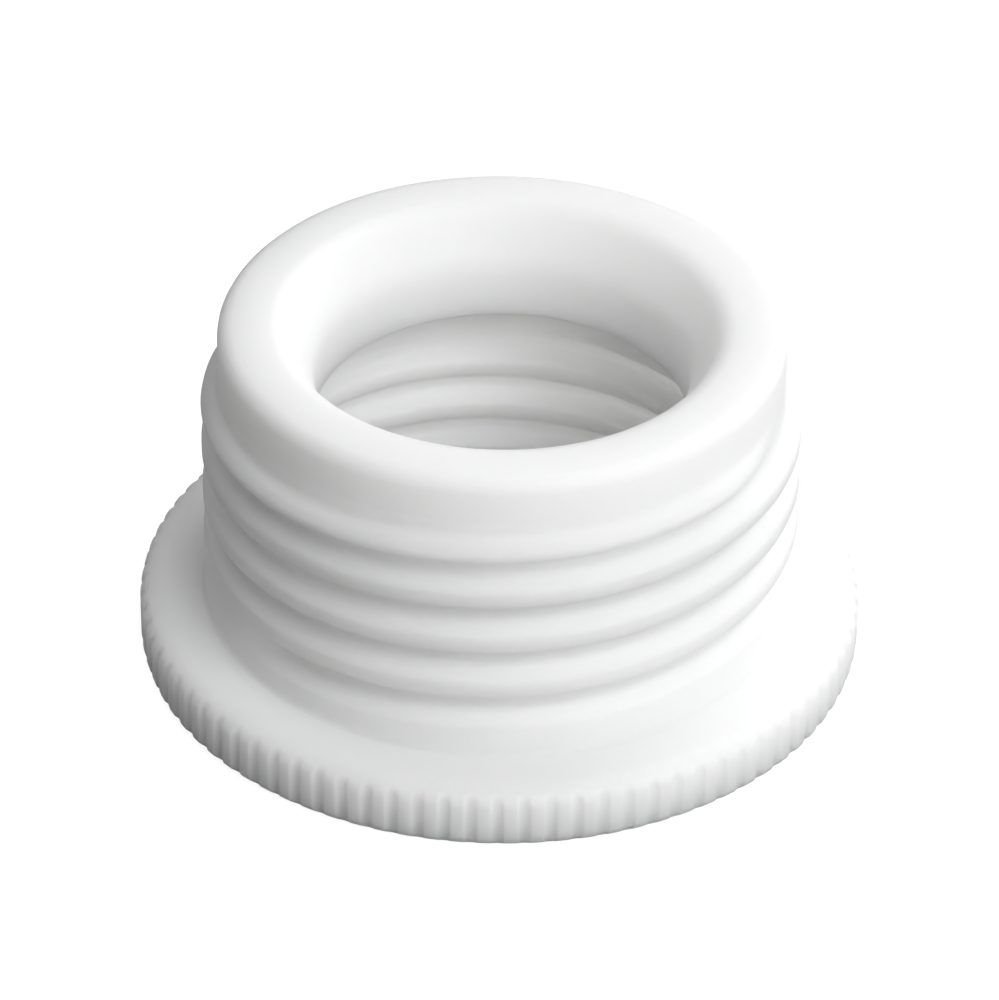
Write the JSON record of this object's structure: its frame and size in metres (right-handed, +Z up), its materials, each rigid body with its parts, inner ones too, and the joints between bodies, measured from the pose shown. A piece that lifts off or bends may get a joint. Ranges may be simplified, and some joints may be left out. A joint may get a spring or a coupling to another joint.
{
  "type": "bottle thread adapter",
  "caption": "White PTFE screw-thread adapter ring for bottles: knurled flange, coarse male thread outside, coarse female thread inside, smooth rounded throat.",
  "frame": {"origin": "centre of the base, on the thread axis, in the plane that the flange stands on", "axes": "+Z up along the thread axis, from the flange to the nose; the male thread's groove runs out 211 degrees from +X about +Z"},
  "size_m": [0.055, 0.055, 0.0282],
  "materials": {
    "ptfe": "satin, as turned"
  },
  "bodies": {
    "root": {"thread_adapter": "ptfe"}
  },
  "joints": []
}
